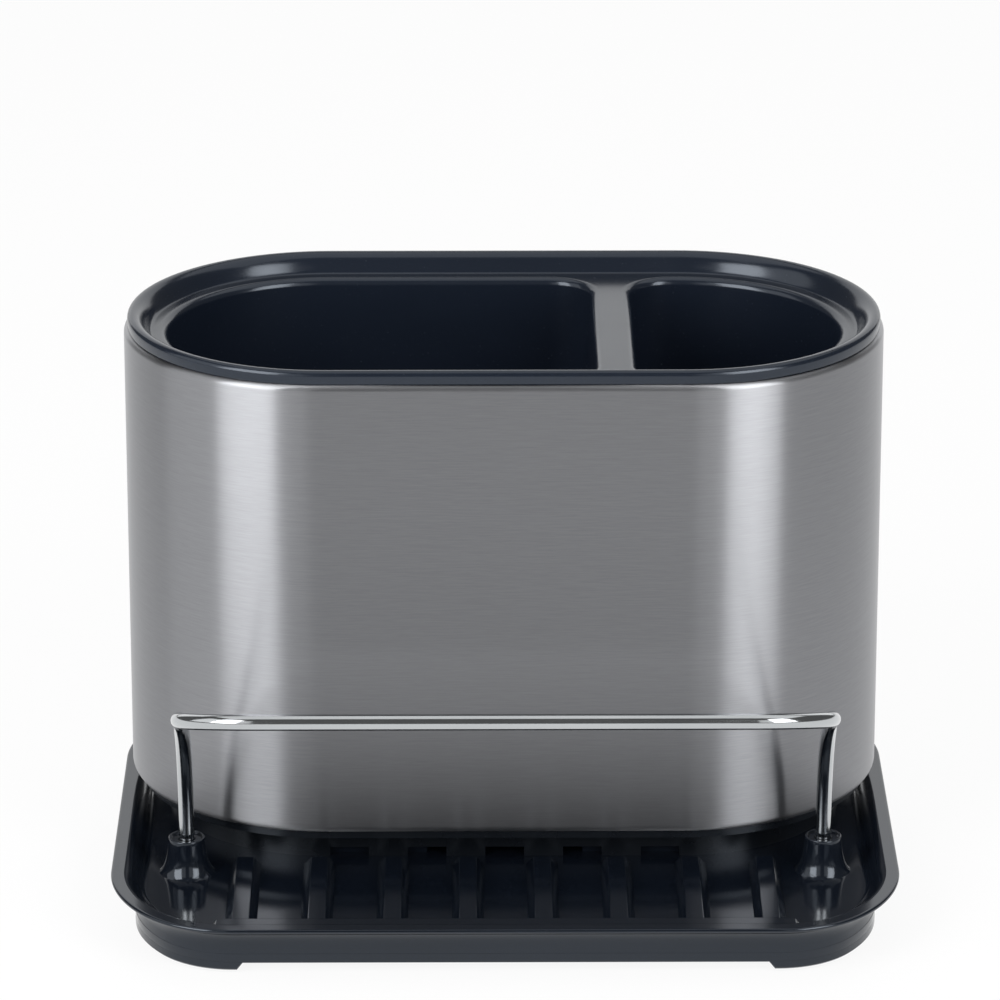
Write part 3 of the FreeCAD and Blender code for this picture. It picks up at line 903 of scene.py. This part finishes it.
def make_pad_bosses():
    """Round bosses under the floor, each with a recess for a pad."""
    low = pad_height - pad_recess
    profile = [(0.0, pad_height), (pad_recess_radius, pad_height), (pad_recess_radius, low + boss_edge)]
    profile += [(pad_recess_radius + boss_edge, low)]
    profile += arc((pad_boss_radius - boss_edge, low + boss_edge), boss_edge, -90, 0, fine_edge_steps)
    profile += [(pad_boss_radius, floor_bottom + sunk), (0.0, floor_bottom + sunk)]
    mesh = turned("pad_bosses", profile, tray_finish, four_corners)
    place_piece("pad_bosses", as_data(mesh, "bosses"), tray_finish, "tray", "tray_plastic")


def make_pads():
    """Anti-slip pads with ring grooves in their treads."""
    profile = [(0.0, 0.0)]
    groove = pad_groove_pitch
    while groove < pad_radius - pad_groove_pitch / 2:
        half = pad_groove_pitch / 4
        profile += [(groove - half, 0.0), (groove - half / 2, pad_groove_depth)]
        profile += [(groove + half / 2, pad_groove_depth), (groove + half, 0.0)]
        groove += pad_groove_pitch
    profile += arc((pad_radius - pad_edge, pad_edge), pad_edge, -90, 0, edge_steps)
    profile += [(pad_radius, pad_height), (0.0, pad_height)]
    mesh = turned("anti_slip_pads", profile, rubber_finish, four_corners)
    names = [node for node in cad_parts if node.startswith("anti_slip_pad")]
    place_piece("anti_slip_pads", as_data(mesh, "pads"), rubber_finish, "tray", "pad_rubber", *names)


# Wire rail


def rounded_route(points, radii):
    """Points along straight runs between corners, with an arc of its own radius at each inner corner."""
    corners = [Vector(point) for point in points]
    steps = 3 * round_steps
    route = [corners[0]]
    for before, corner, after, radius in zip(corners, corners[1:], corners[2:], radii):
        back = (before - corner).normalized()
        ahead = (after - corner).normalized()
        half = back.angle(ahead) / 2
        centre = corner + (back + ahead).normalized() * (radius / math.sin(half))
        start = (corner + back * (radius / math.tan(half)) - centre).normalized()
        end = (corner + ahead * (radius / math.tan(half)) - centre).normalized()
        route += [centre + start.slerp(end, step / steps) * radius for step in range(steps + 1)]
    return route + [corners[-1]]


def rail_path():
    """Points along the right half of the wire, from its rounded foot to the middle of the bar."""
    bar_y = rail_low.y + wire_radius
    bar_z = rail_high.z - wire_radius
    bend_z = socket_top + leg_stub + leg_bend * math.tan(leg_lean / 2)
    corners = [(socket_x, socket_y, bore_bottom + wire_end_round), (socket_x, socket_y, bend_z)]
    corners += [(socket_x, bar_y, bar_z), (0.0, bar_y, bar_z)]
    shoulder_z = bore_bottom + wire_end_round * wire_shoulder_rise
    path = [((socket_x, socket_y, bore_bottom), wire_tip_swell)]
    path += [((socket_x, socket_y, shoulder_z), wire_shoulder_swell)]
    path += [(tuple(point), 1.0) for point in rounded_route(corners, [leg_bend, rail_corner])]
    return path


def make_front_rail():
    """One bent wire that drops into both sockets, with rounded ends."""
    right = rail_path()
    left = [((-x, y, z), swell) for (x, y, z), swell in right]
    path = left[:-1] + right[::-1]
    data = chain("front_rail_wire", [point for point, swell in path])
    swell = data.attributes.new("swell", "FLOAT", "POINT")
    for item, (point, value) in zip(swell.data, path):
        item.value = value
    sizes = {"Radius": wire_radius, "Sides": wire_sides, "Finish": wire_finish}
    mesh = grown("front_rail_wire", data, wire, sizes)
    place_piece("front_rail_wire", as_data(mesh, "wire"), wire_finish, "rail", "rail_chrome", "front_rail")


# Lift-out insert


def rim_levels():
    """From the deck up a soft slope, over the crest, and down to the seat and the deck's underside."""
    crest = rim_inset + rim_round
    steps = 2 * round_steps
    levels = [(dish_end + flat_border, deck_top)]
    for step in range(steps):
        share = step / steps
        rest = 1 - share
        rise = share * share * (3 - 2 * share)
        out = 3 * share * rest * (rest * slope_foot + share * slope_head) + share ** 3
        levels.append((dish_end + (crest - dish_end) * out, deck_top + dish_drop * rise))
    levels += arc((crest, rim_top - rim_round), rim_round, 90, 180, round_steps)
    rim_foot = (rim_inset + rim_foot_round, band_top + rim_foot_round)
    levels += arc(rim_foot, rim_foot_round, 180, 270, edge_steps)
    levels += [(seat_inset, band_top), (seat_inset, deck_low), (seat_inset + flat_border, deck_low)]
    return levels


def well_levels():
    """From the deck over the mouth's rounded edge, down the drafted wall and round onto the floor."""
    mouth = well_mouth_round
    fillet = well_floor_fillet
    levels = [(mouth + flat_border, deck_top)]
    levels += arc((mouth, deck_top - mouth), mouth, 90, 180, round_steps)
    levels += arc((-well_draft - fillet, well_floor_top + fillet), fillet, 0, -90, round_steps)
    levels += [(-well_draft - fillet - flat_border, well_floor_top)]
    return levels


def well_shell_levels():
    """From the deck's underside down the outside of a well and round onto its base."""
    under = well_under_round
    base_grow = well_wall - well_draft
    base_round = well_floor_fillet
    levels = [(well_wall + under + flat_border, deck_low)]
    levels += arc((well_wall + under, deck_low - under), under, 90, 180, edge_steps)
    levels += arc((base_grow - base_round, well_floor_low + base_round), base_round, 0, -90, round_steps)
    levels += [(base_grow - base_round - flat_border, well_floor_low)]
    return levels


def drain_places(side):
    """Rows of drain holes that keep their margin from the wall of one well."""
    clear = band_radius - well_inset - well_draft - drain_margin
    near = divider_x + side * divider_width / 2 + side * (well_draft + drain_margin)
    far = side * (band_length / 2 - well_inset - well_draft - drain_margin)
    count = int(abs(far - near) // drain_pitch) + 1
    places = []
    for column in range(count):
        x = (near + far) / 2 + (column - (count - 1) / 2) * drain_pitch
        past = max(abs(x) - band_end_x, 0.0)
        lines = int(math.sqrt(max(clear ** 2 - past ** 2, 0.0)) // drain_pitch)
        places += [(x, band_y + line * drain_pitch) for line in range(-lines, lines + 1)]
    return places


def drain_outline(x, y, grow):
    """A drain hole's outline, offset outwards by grow."""
    return arc((x, y), drain_radius + grow, 0, 360 - 360 / drain_sides, drain_sides - 1)


def make_well_insert():
    """The rim, the deck and two wells with drain holes, as one thin shell."""
    hole_levels = [(drain_edge, well_floor_top), (0.0, well_floor_top - drain_edge), (0.0, well_floor_low)]
    mesh = bmesh.new()
    deck_edge, under_edge = stack(mesh, box_outline, rim_levels())
    mouths = []
    shells = []
    for side in (-1, 1):
        mouth, floor_edge = stack(mesh, lambda grow: well_outline(side, grow), well_levels())
        shell, base_edge = stack(mesh, lambda grow: well_outline(side, grow), well_shell_levels())
        mouths.append(mouth)
        shells.append(shell)
        hole_tops = []
        hole_ends = []
        for x, y in drain_places(side):
            top, end = stack(mesh, lambda grow: drain_outline(x, y, grow), hole_levels)
            hole_tops.append(top)
            hole_ends.append(end)
        fill(mesh, floor_edge, *hole_tops)
        fill(mesh, base_edge, *hole_ends)
    fill(mesh, deck_edge, *mouths)
    fill(mesh, under_edge, *shells)
    insert = as_data(mesh, "insert")
    place_piece("well_insert_shell", insert, insert_finish, "insert", "insert_plastic", "well_insert")


make_steel_band()
make_band_weld()
make_tray_shell()
make_tray_ribs()
make_locating_ridge()
make_rail_sockets()
make_pad_bosses()
make_pads()
make_front_rail()
make_well_insert()
base_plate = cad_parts["base_plate"]
for slot in base_plate.material_slots:
    slot.material = base_finish


# Floor, light and camera


def white_paper():
    """Matt paper that shows nearly white, straight on or mirrored, and still takes a soft shadow."""
    paper = Finish("white paper")
    fibre = paper.noise(even(260.0), detail=3.0)
    lit = paper.add("ShaderNodeBsdfPrincipled", {}, {
        "Base Color": paper.blend(fibre, paper_dark, paper_pale),
        "Roughness": paper_roughness,
        "Specular IOR Level": 0.0,
    })
    plain = paper.add("ShaderNodeEmission", {}, {"Color": white, "Strength": 1.0})
    straight = paper.add("ShaderNodeLightPath", output="Is Camera Ray")
    mirrored = paper.add("ShaderNodeLightPath", output="Is Glossy Ray")
    through = paper.add("ShaderNodeLightPath", output="Is Transmission Ray")
    seen = (straight + mirrored + through) * paper_whiteness
    shown = paper.add("ShaderNodeMixShader", {}, {0: seen, 1: lit, 2: plain})
    paper.add("ShaderNodeOutputMaterial", {}, {"Surface": shown})
    return paper.material


def make_floor():
    """A wide pale floor under the object."""
    mesh = bmesh.new()
    corners = [(-1, -1), (1, -1), (1, 1), (-1, 1)]
    mesh.faces.new([mesh.verts.new((x * floor_half, y * floor_half, 0.0)) for x, y in corners])
    data = bpy.data.meshes.new("floor")
    mesh.to_mesh(data)
    mesh.free()
    data.materials.append(white_paper())
    floor = bpy.data.objects.new("floor", data)
    scene.collection.objects.link(floor)


def soft_box(name, place, target, width, height, radiance):
    """A rectangular lamp that faces a target and shows with this radiance."""
    data = bpy.data.lights.new(name, "AREA")
    data.shape = "RECTANGLE"
    data.size = width
    data.size_y = height
    data.energy = radiance * math.pi * width * height
    lamp = bpy.data.objects.new(name, data)
    lamp.location = place
    lamp.rotation_euler = (Vector(target) - Vector(place)).to_track_quat("-Z", "Y").to_euler()
    scene.collection.objects.link(lamp)


def side_box(name, degrees, distance, width, radiance):
    """A tall soft box above the floor, so many degrees to the right of the object's front."""
    angle = math.radians(degrees)
    x = distance * math.sin(angle)
    y = band_y - distance * math.cos(angle)
    middle = (box_low + box_high) / 2
    soft_box(name, (x, y, middle), (0, band_y, middle), width, box_high - box_low, radiance)


def make_light():
    """The soft boxes, and a faint even light from all sides."""
    for name, place, target, width, height, radiance in upper_boxes:
        soft_box(name, place, target, width, height, radiance)
    for name, degrees, distance, width, radiance in side_boxes:
        side_box(name, degrees, distance, width, radiance)
    world = bpy.data.worlds.new("studio")
    world.use_nodes = True
    background = world.node_tree.nodes["Background"]
    background.inputs["Color"].default_value = white
    background.inputs["Strength"].default_value = world_strength
    scene.world = world


def make_camera():
    """The photograph's view: a long lens from the front, a little above."""
    data = bpy.data.cameras.new("camera")
    data.sensor_width = camera_sensor
    data.lens = camera_lens
    camera = bpy.data.objects.new("camera", data)
    camera.location = camera_place
    camera.rotation_euler = (math.radians(90 - camera_dip), 0, math.radians(camera_turn))
    scene.collection.objects.link(camera)
    scene.camera = camera


make_floor()
make_light()
make_camera()
scene.view_settings.view_transform = "Standard"
